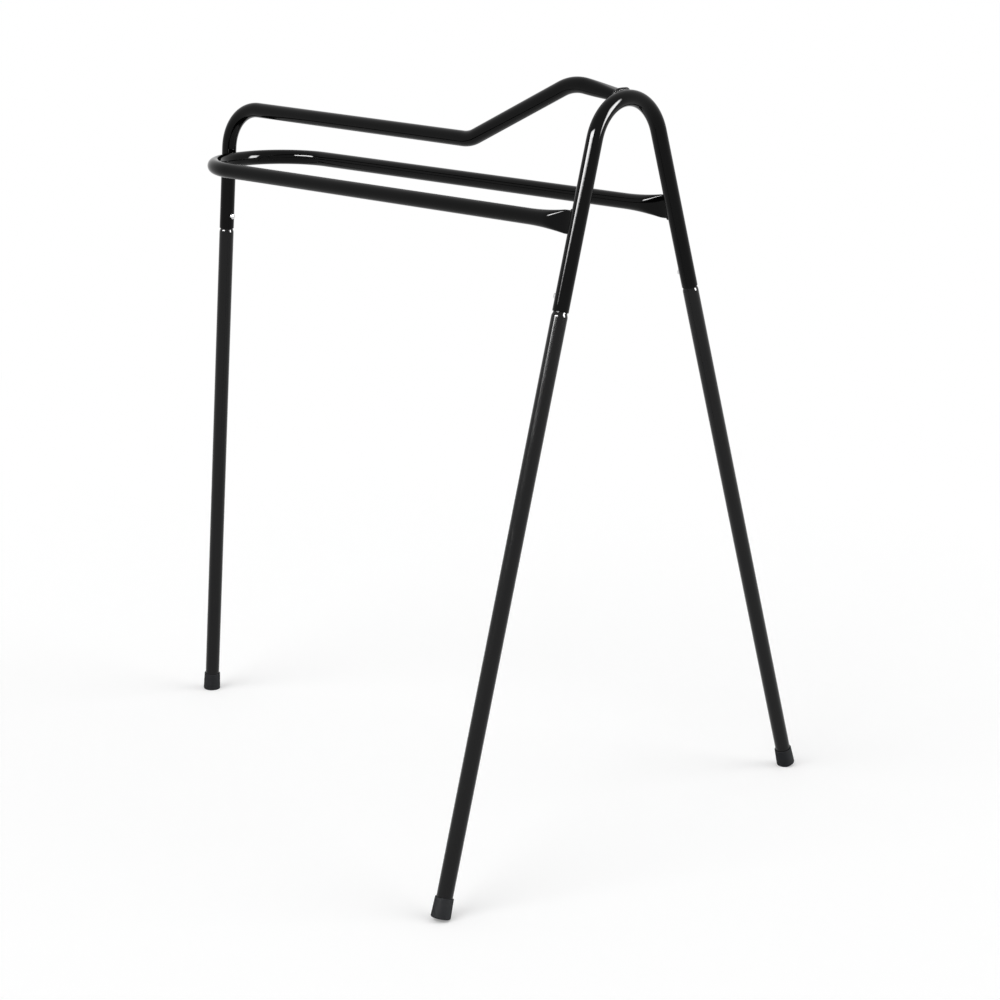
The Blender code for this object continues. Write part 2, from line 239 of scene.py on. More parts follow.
def arch_top():
    """The highest point of the arch's centre line."""
    slope_in_plane = math.atan(math.tan(FRONT_SPLAY) * math.cos(FRONT_LEAN))
    drop = ARCH_RADIUS / math.sin(slope_in_plane) - ARCH_RADIUS
    return front_crossing() - Vector((0, math.sin(FRONT_LEAN), math.cos(FRONT_LEAN))) * drop


def spine_stations():
    """From the rear socket up, forward along the seat and over the hump to the arch."""
    kink = Vector((0, FRONT_Y + KINK_SETBACK, SEAT_HEIGHT))
    hump = Vector((0, FRONT_Y + HUMP_SETBACK, HUMP_HEIGHT))
    rise = math.tan(SEAT_RISE)
    corner_height = (SEAT_HEIGHT + rise * (REAR_Y - kink.y)) / (1 + rise * math.tan(REAR_LEAN))
    corners = [rear_axis(REAR_SOCKET_HEIGHT), rear_axis(corner_height), kink, hump, arch_top()]
    return route(corners, [REAR_BEND_RADIUS, KINK_RADIUS, HUMP_RADIUS])


def rail_back_y():
    """Where the centre line of the side rail's back run passes the rear leg."""
    return rear_axis(RAIL_HEIGHT).y - (TUBE_DIAMETER + FIT_GAP) / math.cos(REAR_LEAN)


def rail_stations():
    """From the left front leg back, across in front of the rear leg and on to the right front leg."""
    left_end, right_end = (front_axis(side, RAIL_HEIGHT) for side in (LEFT, RIGHT))
    left_corner, right_corner = (
        Vector((side * RAIL_BACK_WIDTH / 2, rail_back_y(), RAIL_HEIGHT)) for side in (LEFT, RIGHT)
    )
    return route([left_end, left_corner, right_corner, right_end], [RAIL_BEND_RADIUS, RAIL_BEND_RADIUS])


def reverse(stations):
    """The same route walked the other way."""
    return [(point, -heading) for point, heading in reversed(stations)]


def with_stations(stations, distances):
    """Adds stations at given distances before a route's end."""
    point, heading = stations[-1]
    added = [(point - heading * distance, heading) for distance in sorted(distances, reverse=True)]
    return stations[:-1] + added + [stations[-1]]


def with_hole_rings(stations):
    """Adds stations on either side of the button's hole near a route's end."""
    return with_stations(stations, [
        BUTTON_HEIGHT - HOLE_RING_NEAR, BUTTON_HEIGHT + HOLE_RING_NEAR, BUTTON_HEIGHT + HOLE_RING_FAR,
    ])


def press_distances(length):
    """Closely spaced distances over the stretch where a tube is pressed."""
    return [length * step / PRESS_STEPS for step in range(1, PRESS_STEPS + 1)]


# Cross-sections, as offsets along the route's thin direction and its wide direction


def kept_girth(thickness):
    """A tube pressed to a thickness, with its girth kept: the thickness and half its flats' length."""
    return thickness, math.pi * (TUBE_DIAMETER - thickness) / 4


def pressed_tube(thickness, spread, inset=0):
    """A slot shape: a round tube pulled apart by the spread on either side."""
    radius = thickness / 2 - inset
    offsets = []
    for i in range(TUBE_SIDES):
        angle = math.tau * i / TUBE_SIDES
        side = 0 if i % (TUBE_SIDES // 2) == 0 else math.copysign(1, math.sin(angle))
        offsets.append((radius * math.cos(angle), radius * math.sin(angle) + spread * side))
    return offsets


def placed(station, normal, offsets):
    """Points of a cross-section set square on a station; the wide direction is the normal."""
    point, heading = station
    thin = heading.cross(normal)
    return [point + thin * a + normal * b for a, b in offsets]


def share(value, low, high):
    """How far a value lies between two others, from 0 to 1."""
    return max(0, min(1, (value - low) / (high - low)))


def eased(along):
    """A smooth step from 0 to 1."""
    return (1 - math.cos(math.pi * along)) / 2


def pressed_nose(end):
    """The slot shape at a point of the spine, whose end is pressed a little flat."""
    def shape_at(point):
        along = share((point - end).length, 0, NOSE_PRESS_LENGTH)
        return kept_girth(NOSE_THICKNESS + (TUBE_DIAMETER - NOSE_THICKNESS) * eased(along))
    return shape_at


def pressed_rail(ends):
    """The slot shape at a point of the rail: a blade at either end that turns round towards the bend."""
    widest = sum(kept_girth(RAIL_END_THICKNESS)) - RAIL_END_THICKNESS / 2

    def shape_at(point):
        distance = min((point - end).length for end in ends)
        thickened = eased(share(distance, *RAIL_THINNING))
        thickness = RAIL_END_THICKNESS + (TUBE_DIAMETER - RAIL_END_THICKNESS) * thickened
        extra_width = (1 - share(distance, *RAIL_WIDENING)) ** 2
        half_width = TUBE_RADIUS + (widest - TUBE_RADIUS) * extra_width
        return thickness, half_width - thickness / 2
    return shape_at


def round_tube(_point=None):
    """The slot shape of a tube that isn't pressed, which is round at every point."""
    return kept_girth(TUBE_DIAMETER)


def lip(station, inward):
    """Rings that round off a tube's open end, the full one first; inward is 1 at a route's start."""
    point, heading = station
    rings = []
    for step in range(LIP_STEPS + 1):
        angle = math.radians(90) * step / LIP_STEPS
        along = LIP_RADIUS * (1 - math.sin(angle))
        rings.append(((point + heading * along * inward, heading), LIP_RADIUS * (1 - math.cos(angle))))
    return rings


# Meshes and objects


def add_object(name, bm, place=None):
    """Turns a bmesh, moved to its place, into an object with faces outward and smooth."""
    if place:
        bm.transform(place)
    bmesh.ops.recalc_face_normals(bm, faces=bm.faces)
    mesh = bpy.data.meshes.new(name)
    bm.to_mesh(mesh)
    bm.free()
    smooth(mesh)
    piece = bpy.data.objects.new(name, mesh)
    bpy.context.scene.collection.objects.link(piece)
    return piece


def smooth(mesh):
    """Shades a mesh smooth, apart from its sharp edges."""
    mesh.shade_smooth()
    mesh.set_sharp_from_angle(angle=SMOOTH_ANGLE)


def cut(piece, *cutters):
    """Takes the cutters' volumes away from a piece for good."""
    for cutter in cutters:
        boolean = piece.modifiers.new(cutter.name, "BOOLEAN")
        boolean.operation = "DIFFERENCE"
        boolean.solver = "EXACT"
        boolean.object = cutter
    bpy.context.view_layer.update()
    evaluated = piece.evaluated_get(bpy.context.evaluated_depsgraph_get())
    mesh = bpy.data.meshes.new_from_object(evaluated)
    piece.modifiers.clear()
    piece.data = mesh
    smooth(mesh)
    return piece


def remove(*objects):
    """Deletes objects that only helped to make others."""
    for item in objects:
        bpy.data.objects.remove(item)


def skin(sections, joined):
    """A closed bmesh with faces from each section to the next.

    A joined skin closes on its first section. Any other is capped where it doesn't end in a point.
    """
    bm = bmesh.new()
    loops = [[bm.verts.new(point) for point in section] for section in sections]
    pairs = list(zip(loops, loops[1:]))
    if joined:
        pairs.append((loops[-1], loops[0]))
    else:
        for end in (loops[0], loops[-1]):
            if len(end) > 1:
                bm.faces.new(end)
    for low, high in pairs:
        for i in range(max(len(low), len(high))):
            around = ((low, i - 1), (low, i), (high, i), (high, i - 1))
            corners = [loop[place % len(loop)] for loop, place in around]
            bm.faces.new(tuple(dict.fromkeys(corners)))
    return bm


def hollow_tube(stations, normal, shape_at, open_start=False, open_end=False):
    """A tube with its wall and a rounded lip at each end that is left open."""
    first = lip(stations[0], 1)[::-1] if open_start else [(stations[0], 0)]
    last = lip(stations[-1], -1) if open_end else [(stations[-1], 0)]
    rings = first + [(station, 0) for station in stations[1:-1]] + last
    outside = [placed(s, normal, pressed_tube(*shape_at(s[0]), inset)) for s, inset in rings]
    inside = [placed(s, normal, pressed_tube(*shape_at(s[0]), TUBE_WALL - inset)) for s, inset in rings]
    return skin(outside + inside[::-1], joined=True)


def solid_bar(stations, normal, offsets):
    """A closed bar of one cross-section."""
    return skin([placed(s, normal, offsets) for s in stations], joined=False)


def turned(profile, ring):
    """Revolves a profile of (radius, height) points; a ring profile closes on itself."""
    sections = []
    for radius, height in profile:
        angles = [math.tau * i / TURNED_SIDES for i in range(TURNED_SIDES if radius else 1)]
        sections.append([(radius * math.cos(angle), radius * math.sin(angle), height) for angle in angles])
    return skin(sections, joined=ring)


def arc(centre_radius, centre_height, radius, start, turn):
    """Profile points on an arc, from a starting angle and over a turn, both in degrees."""
    points = []
    for step in range(ARC_STEPS + 1):
        angle = math.radians(start + turn * step / ARC_STEPS)
        points.append((centre_radius + radius * math.cos(angle),
                       centre_height + radius * math.sin(angle)))
    return points


# Welds


def away_from(stations, point):
    """The shortest way from a route's centre line to a point."""
    ways = []
    for (a, _), (b, _) in zip(stations, stations[1:]):
        run = b - a
        along = max(0, min(1, (point - a).dot(run) / run.length_squared))
        ways.append(point - a.lerp(b, along))
    return min(ways, key=lambda way: way.length)


def cope_seam(station, normal, thickness, other):
    """Where a pressed tube's skin meets the other tube: points, each with the way out of the corner."""
    point, heading = station
    thin = heading.cross(normal)
    seam = []
    for i, (a, b) in enumerate(pressed_tube(*kept_girth(thickness))):
        inner = point + thin * a + normal * b
        outer = inner - heading * SEAM_REACH
        for _ in range(SEAM_HALVINGS):
            middle = (inner + outer) / 2
            if away_from(other, middle).length < TUBE_RADIUS:
                inner = middle
            else:
                outer = middle
        angle = math.tau * i / TUBE_SIDES
        off_tube = thin * math.cos(angle) + normal * math.sin(angle)
        off_other = away_from(other, outer).normalized()
        seam.append((outer, (off_tube + off_other).normalized()))
    return seam


def contact_seam(centre, half_gap):
    """A ring round the spot where the rail's back run touches the rear leg.

    It runs midway between the two tubes, where each is half the gap away.
    """
    reach = 2 * math.sqrt(TUBE_RADIUS * half_gap)
    seam = []
    for i in range(TUBE_SIDES):
        angle = math.tau * i / TUBE_SIDES
        out = Vector((math.cos(angle), 0, math.sin(angle)))
        seam.append((centre + out * reach + Vector((0, half_gap * math.cos(2 * angle), 0)), out))
    return seam


def step_lengths(seam):
    """The distance from each point of a closed seam to the next."""
    return [(b - a).length for (a, _), (b, _) in zip(seam, seam[1:] + seam[:1])]


def even_steps(seam, count):
    """The same closed seam with evenly spaced points."""
    lengths = step_lengths(seam)
    total = sum(lengths)
    even, i, passed = [], 0, 0
    for step in range(count):
        target = total * step / count
        while passed + lengths[i] < target:
            passed += lengths[i]
            i += 1
        along = (target - passed) / lengths[i]
        (a, out_a), (b, out_b) = seam[i], seam[(i + 1) % len(seam)]
        even.append((a.lerp(b, along), out_a.lerp(out_b, along).normalized()))
    return even


def weld_bead(name, seam, radius):
    """A bead of overlapping ripples along a closed seam."""
    ripples = round(sum(step_lengths(seam)) / WELD_RIPPLE_PITCH)
    even = even_steps(seam, ripples * WELD_RINGS_PER_RIPPLE)
    sections = []
    for i, (point, out) in enumerate(even):
        tangent = (even[(i + 1) % len(even)][0] - even[i - 1][0]).normalized()
        side = tangent.cross(out).normalized()
        out = side.cross(tangent)
        phase = i % WELD_RINGS_PER_RIPPLE / WELD_RINGS_PER_RIPPLE
        swell = 1 + WELD_RIPPLE_DEPTH * (math.sin(math.pi * phase) - 0.5)
        wander = noise.noise(point / WELD_RIPPLE_PITCH / WELD_RIPPLES_PER_WANDER) * WELD_WANDER
        ring = []
        for k in range(WELD_SIDES):
            angle = math.tau * k / WELD_SIDES
            way = out * math.cos(angle) + side * math.sin(angle)
            ring.append(point + out * (wander + radius * WELD_PROUD) + way * radius * swell)
        sections.append(ring)
    return add_object(name, skin(sections, joined=True))


# Finishes


def grain(tree, size, stretch=1, detail=2, lie=(0, 0, 0)):
    """Noise in space: features of a size in metres, drawn out along the Z axis of a rotated frame."""
    coordinates = tree.nodes.new("ShaderNodeTexCoord")
    mapping = tree.nodes.new("ShaderNodeMapping")
    mapping.vector_type = "TEXTURE"
    mapping.inputs["Rotation"].default_value = lie
    mapping.inputs["Scale"].default_value = (1, 1, stretch)
    texture = tree.nodes.new("ShaderNodeTexNoise")
    texture.inputs["Scale"].default_value = 1 / size
    texture.inputs["Detail"].default_value = detail
    tree.links.new(coordinates.outputs["Object"], mapping.inputs["Vector"])
    tree.links.new(mapping.outputs["Vector"], texture.inputs["Vector"])
    return texture.outputs["Fac"]


def ranged(tree, value, low, high, start=0.3, end=0.7):
    """A value mapped to a range, from the range that noise mostly keeps to or from another."""
    node = tree.nodes.new("ShaderNodeMapRange")
    node.inputs["From Min"].default_value = start
    node.inputs["From Max"].default_value = end
    node.inputs["To Min"].default_value = low
    node.inputs["To Max"].default_value = high
    tree.links.new(value, node.inputs["Value"])
    return node.outputs["Result"]


def tinted(tree, value, first, second):
    """A colour between two others."""
    mix = tree.nodes.new("ShaderNodeMix")
    mix.data_type = "RGBA"
    mix.inputs["A"].default_value = (*first, 1)
    mix.inputs["B"].default_value = (*second, 1)
    tree.links.new(value, mix.inputs["Factor"])
    return mix.outputs["Result"]


def make_finish(name, colours, colour_grain, roughness, roughness_grain, relief, relief_grain,
                specular=METAL_SPECULAR, metallic=0):
    """A finish whose colour, roughness and relief, a depth in metres, each follow a grain."""
    made = bpy.data.materials.new(name)
    made.use_nodes = True
    tree = made.node_tree
    shader = tree.nodes["Principled BSDF"]
    shader.inputs["Metallic"].default_value = metallic
    shader.inputs["Specular IOR Level"].default_value = specular
    tree.links.new(tinted(tree, grain(tree, **colour_grain), *colours), shader.inputs["Base Color"])
    tree.links.new(ranged(tree, grain(tree, **roughness_grain), *roughness), shader.inputs["Roughness"])
    bump = tree.nodes.new("ShaderNodeBump")
    bump.inputs["Distance"].default_value = relief
    tree.links.new(grain(tree, **relief_grain), bump.inputs["Height"])
    tree.links.new(bump.outputs["Normal"], shader.inputs["Normal"])
    return made


def make_gloss_enamel():
    """Black stoving enamel: near mirror gloss with a faint orange peel and thin patches of haze."""
    return make_finish(
        "gloss_black_enamel", specular=GLOSS_SPECULAR,
        colours=((0.0010, 0.0010, 0.0010), (0.0022, 0.0022, 0.0024)), colour_grain=dict(size=0.03),
        roughness=(0.02, 0.04), roughness_grain=dict(size=0.02, detail=4),
        relief=0.00002, relief_grain=dict(size=0.004),
    )


def make_weld_enamel():
    """The same enamel, thinner and duller over the rough beads."""
    return make_finish(
        "weld_black_enamel", specular=GLOSS_SPECULAR,
        colours=((0.0018, 0.0018, 0.0018), (0.0050, 0.0048, 0.0045)), colour_grain=dict(size=0.002),
        roughness=(0.10, 0.22), roughness_grain=dict(size=0.0015, detail=4),
        relief=0.00004, relief_grain=dict(size=0.0008),
    )


def make_satin_enamel(word, leg_frame):
    """Thin satin black on drawn tube, whose draw lines show through along it."""
    lie = leg_frame.to_euler()
    draw_lines = dict(size=0.0012, stretch=60, detail=3, lie=lie)
    return make_finish(
        word + "_satin_black_enamel", specular=SATIN_SPECULAR,
        colours=((0.0014, 0.0014, 0.0015), (0.0030, 0.0030, 0.0034)), colour_grain=draw_lines,
        roughness=(0.09, 0.14), roughness_grain=dict(size=0.006, stretch=8, detail=4, lie=lie),
        relief=0.000006, relief_grain=draw_lines,
    )


def make_rubber():
    """Matt moulded rubber with a fine grain."""
    return make_finish(
        "black_rubber", specular=RUBBER_SPECULAR,
        colours=((0.008, 0.009, 0.010), (0.013, 0.014, 0.016)), colour_grain=dict(size=0.004, detail=5),
        roughness=(0.62, 0.78), roughness_grain=dict(size=0.002),
        relief=0.00006, relief_grain=dict(size=0.0007, detail=3),
    )


def make_zinc():
    """Bright zinc plate with a fine uneven grain."""
    return make_finish(
        "zinc_plated_steel", metallic=1,
        colours=((0.60, 0.60, 0.61), (0.70, 0.70, 0.70)), colour_grain=dict(size=0.002),
        roughness=(0.09, 0.15), roughness_grain=dict(size=0.001, detail=4),
        relief=0.00001, relief_grain=dict(size=0.0005),
    )


def make_spring_steel():
    """Rolled spring steel, darker in places from hardening."""
    return make_finish(
        "spring_steel", metallic=1,
        colours=((0.34, 0.34, 0.37), (0.48, 0.47, 0.46)), colour_grain=dict(size=0.003, stretch=10),
        roughness=(0.28, 0.42), roughness_grain=dict(size=0.0006, stretch=20, detail=3),
        relief=0.00001, relief_grain=dict(size=0.0004, stretch=20),
    )


def dress(piece, body, slot, finish, *nodes):
    """Gives a new piece its finish and its place in the frame."""
    piece.data.materials.clear()
    piece.data.materials.append(finish)
    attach(piece, body)
    if nodes:
        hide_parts(*nodes)


# Pieces of the frame


def make_hole_cutter(name, leg_frame):
    """A round bar through one wall of the socket and the spigot inside it."""
    profile = [(0, 0), (BUTTON_HOLE_RADIUS, 0), (BUTTON_HOLE_RADIUS, TUBE_DIAMETER), (0, TUBE_DIAMETER)]
    return add_object(name, turned(profile, ring=False), button_place(leg_frame))


def button_place(leg_frame):
    """On the leg's centre line at the button's height, with +Z out through the button."""
    out_through_button = Matrix.Rotation(math.radians(-90), 4, "X")
    return leg_frame @ Matrix.Translation((0, 0, BUTTON_HEIGHT)) @ out_through_button


def make_front_frame(hole_cutters, enamel):
    """The arch and the upper halves of the front legs, with a button hole near each end."""
    along = with_hole_rings(reverse(with_hole_rings(arch_stations())))
    walls = hollow_tube(along, arch_normal(), round_tube, open_start=True, open_end=True)
    front = add_object("front_frame", walls)
    cut(front, *hole_cutters)
    dress(front, "frame", "gloss_black_enamel", enamel, "front_a_frame")


def make_arch_bar():
    """The arch filled in, which the tubes that are welded to it are coped with."""
    return add_object("arch_bar", solid_bar(arch_stations(), arch_normal(), pressed_tube(*round_tube())))


def make_spine(hole_cutter, arch_bar, enamel):
    """The spine, with a button hole near its rear end and its nose pressed and coped to the arch."""
    along = reverse(with_hole_rings(reverse(spine_stations())))
    along = with_stations(along, press_distances(NOSE_PRESS_LENGTH))
    nose = along[-1][0]
    spine = add_object("spine", hollow_tube(along, ACROSS, pressed_nose(nose), open_start=True))
    cut(spine, hole_cutter, arch_bar)
    dress(spine, "frame", "gloss_black_enamel", enamel, "spine_tube")


def make_rail(arch_bar, enamel):
    """The side rail, with its ends pressed and coped to the front legs."""
    pressed = press_distances(RAIL_WIDENING[1])
    along = with_stations(rail_stations(), pressed)
    along = reverse(with_stations(reverse(along), pressed))
    ends = [along[0][0], along[-1][0]]
    rail = add_object("rail", hollow_tube(along, UP, pressed_rail(ends)))
    cut(rail, arch_bar)
    dress(rail, "frame", "gloss_black_enamel", enamel, "side_rail")


def make_welds(enamel):
    """A bead round the spine's nose, round each end of the rail and between the rail and the rear leg."""
    arch = arch_stations()
    rail = rail_stations()
    contact = Vector((0, rail_back_y() + TUBE_RADIUS, RAIL_HEIGHT))
    seams = {
        "nose_weld": cope_seam(spine_stations()[-1], ACROSS, NOSE_THICKNESS, arch),
        "left_rail_weld": cope_seam(reverse(rail)[-1], UP, RAIL_END_THICKNESS, arch),
        "right_rail_weld": cope_seam(rail[-1], UP, RAIL_END_THICKNESS, arch),
        "rear_rail_weld": contact_seam(contact, RAIL_WELD_RADIUS / 2),
    }
    for name, seam in seams.items():
        radius = NOSE_WELD_RADIUS if name == "nose_weld" else RAIL_WELD_RADIUS
        dress(weld_bead(name, seam, radius), "frame", "gloss_black_enamel", enamel)


# Pieces of a lower leg, in the leg's own frame: the origin at the socket's mouth, +Z up into
# the socket and +Y towards the snap button


def leg_matrix(mouth, up_the_leg, towards_button):
    """The frame of a leg, from its socket's mouth and two rough directions."""
    z_axis = up_the_leg.normalized()
    x_axis = towards_button.cross(z_axis).normalized()
    y_axis = z_axis.cross(x_axis)
    return Matrix.Translation(mouth) @ Matrix((x_axis, y_axis, z_axis)).transposed().to_4x4()


def foot_base_drop(leg_frame):
    """Distance down the leg from the socket's mouth to the foot's base, pressed flat on the floor."""
    slant = (leg_frame.to_3x3() @ UP).angle(UP)
    rim = FOOT_BASE_DIAMETER / 2 - FOOT_EDGE_RADIUS
    base_height = rim * math.sin(slant) + FOOT_EDGE_RADIUS * (1 - math.cos(slant)) - FOOT_FLAT_DEPTH
    return (leg_frame.translation.z - base_height) / math.cos(slant)


def make_leg_tube(name, leg_frame, hole_cutter):
    """The lower leg: a tube whose top is swaged down to a neck and a spigot with a button hole."""
    end = FOOT_PAD + FIT_GAP - foot_base_drop(leg_frame)
    swage = []
    for step in range(SWAGE_STEPS + 1):
        along = step / SWAGE_STEPS
        swell = math.sin(math.pi / 2 * along) * (TUBE_RADIUS - SPIGOT_RADIUS)
        swage.append((SPIGOT_RADIUS + swell, -NECK_LENGTH - SWAGE_LENGTH * along))
    hole_rings = [BUTTON_HEIGHT + HOLE_RING_NEAR, BUTTON_HEIGHT - HOLE_RING_NEAR]
    outside = [(SPIGOT_RADIUS - SPIGOT_LEAD / 2, SPIGOT_DEPTH)]
    outside += [(SPIGOT_RADIUS, height) for height in (SPIGOT_DEPTH - SPIGOT_LEAD, *hole_rings)]
    outside += swage + [(TUBE_RADIUS, end)]
    inside = [(SOCKET_RADIUS, end)] + [(radius - TUBE_WALL, height) for radius, height in swage[::-1]]
    inside += [(SPIGOT_BORE, height) for height in hole_rings[::-1]] + [(SPIGOT_BORE, SPIGOT_DEPTH)]
    return cut(add_object(name, turned(outside + inside, ring=True), leg_frame), hole_cutter)


def make_button(name, leg_frame):
    """A domed button with a small round edge."""
    top = TUBE_RADIUS + BUTTON_PROTRUSION
    radius = BUTTON_DIAMETER / 2
    crown = radius - BUTTON_EDGE
    dome = [(crown * step / ARC_STEPS, top - (BUTTON_DOME - BUTTON_EDGE) * (step / ARC_STEPS) ** 2)
            for step in range(ARC_STEPS + 1)]
    edge = arc(crown, top - BUTTON_DOME, BUTTON_EDGE, start=60, turn=-60)
    profile = dome + edge + [(radius, BUTTON_BASE), (0, BUTTON_BASE)]
    return add_object(name, turned(profile, ring=False), button_place(leg_frame))


def make_clip(name, leg_frame):
    """A strip of spring steel folded to a V, with one leaf under the button."""
    leaf = CLIP_FACE - CLIP_THICKNESS / 2
    top = BUTTON_HEIGHT + CLIP_TIP
    bottom = BUTTON_HEIGHT - CLIP_LENGTH
    corners = [Vector((0, across, height)) for across, height in (
        (leaf, top), (leaf, BUTTON_HEIGHT - BUTTON_DIAMETER / 2), (CLIP_FOLD_HALF_WIDTH, bottom),
        (-CLIP_FOLD_HALF_WIDTH, bottom), (-leaf, BUTTON_HEIGHT), (-leaf, top),
    )]
    radii = [CLIP_KINK_RADIUS, CLIP_FOLD_RADIUS, CLIP_FOLD_RADIUS, CLIP_KINK_RADIUS]
    thin, wide = CLIP_THICKNESS / 2, CLIP_WIDTH / 2
    strip = [(thin, wide), (-thin, wide), (-thin, -wide), (thin, -wide)]
    return add_object(name, solid_bar(route(corners, radii), ACROSS, strip), leg_frame)


def squash_clip(clip):
    """Gives the clip a mesh of its own, shared with no other object."""
    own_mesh(clip)


def make_foot(name, leg_frame):
    """A cup of rubber over the end of the leg, pressed flat where it meets the floor."""
    bore = TUBE_RADIUS + FIT_GAP
    lip_centre = FOOT_TOP_DIAMETER / 2 - FOOT_LIP_RADIUS
    rim = FOOT_BASE_DIAMETER / 2 - FOOT_EDGE_RADIUS
    profile = [(0, FOOT_PAD), (bore, FOOT_PAD), (bore, FOOT_HEIGHT)]
    profile += arc(lip_centre, FOOT_HEIGHT - FOOT_LIP_RADIUS, FOOT_LIP_RADIUS, start=90, turn=-90)
    profile += arc(rim, FOOT_EDGE_RADIUS, FOOT_EDGE_RADIUS, start=0, turn=-90)
    profile += [(rim * step / FOOT_BASE_RINGS, 0) for step in range(FOOT_BASE_RINGS - 1, -1, -1)]
    bm = turned(profile, ring=False)
    bm.transform(leg_frame @ Matrix.Translation((0, 0, -foot_base_drop(leg_frame))))
    for vert in bm.verts:
        vert.co.z = max(vert.co.z, 0)
    return add_object(name, bm)


def leg_places():
    """The name and the frame of each lower leg."""
    left, right = (front_axis(side, FRONT_SOCKET_HEIGHT) for side in (LEFT, RIGHT))
    rear = rear_axis(REAR_SOCKET_HEIGHT)
    return {
        "front_left": leg_matrix(left, left - front_axis(LEFT, 0), BACKWARD),
        "front_right": leg_matrix(right, right - front_axis(RIGHT, 0), BACKWARD),
        "rear": leg_matrix(rear, rear - rear_axis(0), -BACKWARD),
    }


def make_leg(word, leg_frame, hole_cutter, rubber, zinc, spring_steel):
    """A lower leg with its snap button, rubber foot and button clip."""
    tube = make_leg_tube(word + "_leg_tube", leg_frame, hole_cutter)
    satin = make_satin_enamel(word, leg_frame)
    dress(tube, word + "_leg", "satin_black_enamel", satin, word + "_lower_leg")
    button = make_button(word + "_button_pin", leg_frame)
    dress(button, word + "_button", "zinc_plated_steel", zinc, word + "_snap_button")
    foot = make_foot(word + "_foot_cup", leg_frame)
    dress(foot, word + "_leg", "black_rubber", rubber, word + "_rubber_foot")
    clip = make_clip(word + "_clip_strip", leg_frame)
    dress(clip, word + "_leg", "spring_steel", spring_steel, word + "_button_clip")
    squash_clip(clip)


def make_rack():
    """All the pieces of the rack."""
    rubber = make_rubber()
    zinc = make_zinc()
    spring_steel = make_spring_steel()
    enamel = make_gloss_enamel()
    hole_cutters = {}
    for word, leg_frame in leg_places().items():
        hole_cutters[word] = make_hole_cutter(word + "_hole", leg_frame)
        make_leg(word, leg_frame, hole_cutters[word], rubber, zinc, spring_steel)
    make_front_frame([hole_cutters["front_left"], hole_cutters["front_right"]], enamel)
    arch_bar = make_arch_bar()
    make_spine(hole_cutters["rear"], arch_bar, enamel)
    make_rail(arch_bar, enamel)
    make_welds(make_weld_enamel())
    remove(arch_bar, *hole_cutters.values())


# Studio


def direction(azimuth, elevation):
    """A direction from degrees: the azimuth runs from +Y towards +X."""
    a, e = math.radians(azimuth), math.radians(elevation)
    return Vector((math.sin(a) * math.cos(e), math.cos(a) * math.cos(e), math.sin(e)))


def feed(tree, value, socket):
    """Sets a socket to a number, or links it to another socket."""
    if isinstance(value, bpy.types.NodeSocket):
        tree.links.new(value, socket)
    else:
        socket.default_value = value


def math_node(tree, operation, first, second):
    """A sum, product or the like of two values."""
    node = tree.nodes.new("ShaderNodeMath")
    node.operation = operation
    feed(tree, first, node.inputs[0])
    feed(tree, second, node.inputs[1])
    return node.outputs[0]


def faded(tree, value, start, end):
    """A smooth step from 0 at the start to 1 at the end; the end may be the lower one."""
    rising = start < end
    low, high = sorted((start, end))
    node = tree.nodes.new("ShaderNodeMapRange")
    node.interpolation_type = "SMOOTHSTEP"
    node.inputs["From Min"].default_value = low
    node.inputs["From Max"].default_value = high
    node.inputs["To Min"].default_value = 0 if rising else 1
    node.inputs["To Max"].default_value = 1 if rising else 0
    tree.links.new(value, node.inputs["Value"])
    return node.outputs["Result"]


def product(tree, values):
    """Several values multiplied."""
    total = values[0]
    for value in values[1:]:
        total = math_node(tree, "MULTIPLY", total, value)
    return total


def seen_directly(tree):
    """1 for rays that show the background: camera, glossy and transmission rays."""
    rays = tree.nodes.new("ShaderNodeLightPath").outputs
    bounced = math_node(tree, "MAXIMUM", rays["Is Glossy Ray"], rays["Is Transmission Ray"])
    return math_node(tree, "MAXIMUM", rays["Is Camera Ray"], bounced)


def make_world():
    """Plain light on the object, and white where the background is seen or mirrored."""
    world = bpy.data.worlds.new("studio")
    world.use_nodes = True
    tree = world.node_tree
    background = tree.nodes["Background"]
    level = ranged(tree, seen_directly(tree), WORLD_LEVEL, 1, 0, 1)
    tree.links.new(level, background.inputs["Strength"])
    background.inputs["Color"].default_value = (1, 1, 1, 1)
    bpy.context.scene.world = world


def stage_material(name):
    """An empty node material for the stage; returns it with its tree and its output."""
    made = bpy.data.materials.new(name)
    made.use_nodes = True
    made.node_tree.nodes.remove(made.node_tree.nodes["Principled BSDF"])
    return made, made.node_tree, made.node_tree.nodes["Material Output"]


def emission(tree, strength):
    """White light of a strength."""
    node = tree.nodes.new("ShaderNodeEmission")
    feed(tree, strength, node.inputs["Strength"])
    return node.outputs[0]


def mixed(tree, factor, first, second):
    """The first shader where the factor is 0, the second where it is 1."""
    node = tree.nodes.new("ShaderNodeMixShader")
    tree.links.new(factor, node.inputs[0])
    tree.links.new(first, node.inputs[1])
    tree.links.new(second, node.inputs[2])
    return node.outputs[0]


def distance_out(tree):
    """Distance from the origin."""
    geometry = tree.nodes.new("ShaderNodeNewGeometry")
    length = tree.nodes.new("ShaderNodeVectorMath")
    length.operation = "LENGTH"
    tree.links.new(geometry.outputs["Position"], length.inputs[0])
    return length.outputs["Value"]


def stage_card(name, size, matrix, material):
    """A flat sheet that belongs to the studio."""
    bm = bmesh.new()
    bmesh.ops.create_grid(bm, x_segments=1, y_segments=1, size=0.5)
    bmesh.ops.scale(bm, vec=(*size, 1), verts=bm.verts)
    card = add_object(name, bm)
    card.matrix_world = matrix
    card.data.materials.append(material)
    return card


